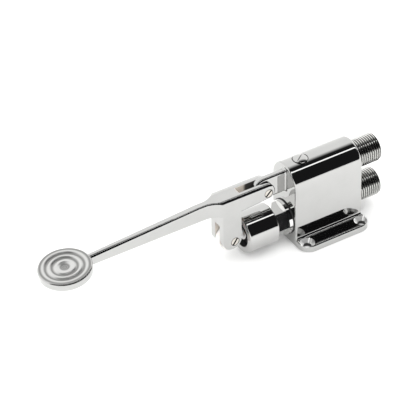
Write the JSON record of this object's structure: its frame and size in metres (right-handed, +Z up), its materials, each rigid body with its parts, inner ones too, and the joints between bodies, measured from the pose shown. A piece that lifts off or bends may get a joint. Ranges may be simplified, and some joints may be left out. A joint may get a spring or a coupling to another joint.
{
  "type": "foot pedal valve",
  "caption": "Floor-mounted self-closing water valve opened by a round ridged foot pedal on a slim lever, with threaded inlet and outlet ports at the rear.",
  "frame": {"origin": "centre of the four floor-screw holes, on the underside of the base flange", "axes": "+X to the rear, where the threaded ports are, with the pedal pad at -X; +Y to the side; +Z up"},
  "size_m": [0.2716, 0.0544, 0.0636],
  "materials": {
    "chrome_body": "polished chrome plate on brass",
    "chrome_lever": "polished chrome plate, duller in the pad's grooves and the fork's slot",
    "nickel_screws": "turned, nickel plated, satin",
    "steel": "turned stainless steel",
    "white_nylon": "turned white nylon, smooth",
    "brass": "turned, bare",
    "black_gasket": "black fibre, flat",
    "rubber": "black nitrile, smooth"
  },
  "bodies": {
    "valve": {"body": "chrome_body", "pivot_bush": "brass", "bonnet": "chrome_body", "bonnet_gasket": "black_gasket", "gland_bush": "brass", "stem_o_rings": "rubber", "cage": "brass", "cage_o_ring": "rubber", "cap": "chrome_body", "wiper_seal": "rubber", "return_spring": "steel"},
    "lever": {"pedal_lever": "chrome_lever", "pivot_screw": "nickel_screws", "roller_screw": "nickel_screws"},
    "roller": {"roller": "white_nylon"},
    "stem": {"tappet": "steel", "stem": "brass", "seat_washer": "rubber", "disc_holder": "brass", "disc_nut": "brass"},
    "regulator_seal": {"regulator_o_ring": "rubber"},
    "regulator": {"regulator_screw": "nickel_screws"}
  },
  "joints": [
    {"name": "lever_pivot", "type": "hinge", "parent": "valve", "child": "lever", "pos_m": [-0.0462, 0, 0.0497], "axis": [0, -1, 0], "range_deg": [0, 6]},
    {"name": "roller_spin", "type": "hinge", "parent": "lever", "child": "roller", "pos_m": [-0.0742, 0, 0.0194], "axis": [0, 1, 0], "continuous": true},
    {"name": "stem_travel", "type": "slide", "parent": "valve", "child": "stem", "axis": [1, 0, 0], "range_m": [0, 0.00333], "stiffness_N_per_m": 3000, "springref_m": -0.007, "deforming": ["return_spring"]},
    {"name": "regulator_lift", "type": "slide", "parent": "valve", "child": "regulator_seal", "axis": [0, 0, 1], "range_m": [-0.001, 0.0015]},
    {"name": "regulator_turn", "type": "hinge", "parent": "regulator_seal", "child": "regulator", "pos_m": [-0.015, 0, 0.0609], "axis": [0, 0, 1], "range_deg": [-360, 540]}
  ],
  "couplings": [
    {"joint": "stem_travel", "follows": "lever_pivot", "m_per_rad": 0.031709},
    {"joint": "regulator_turn", "follows": "regulator_lift", "rad_per_m": 6283.2}
  ]
}
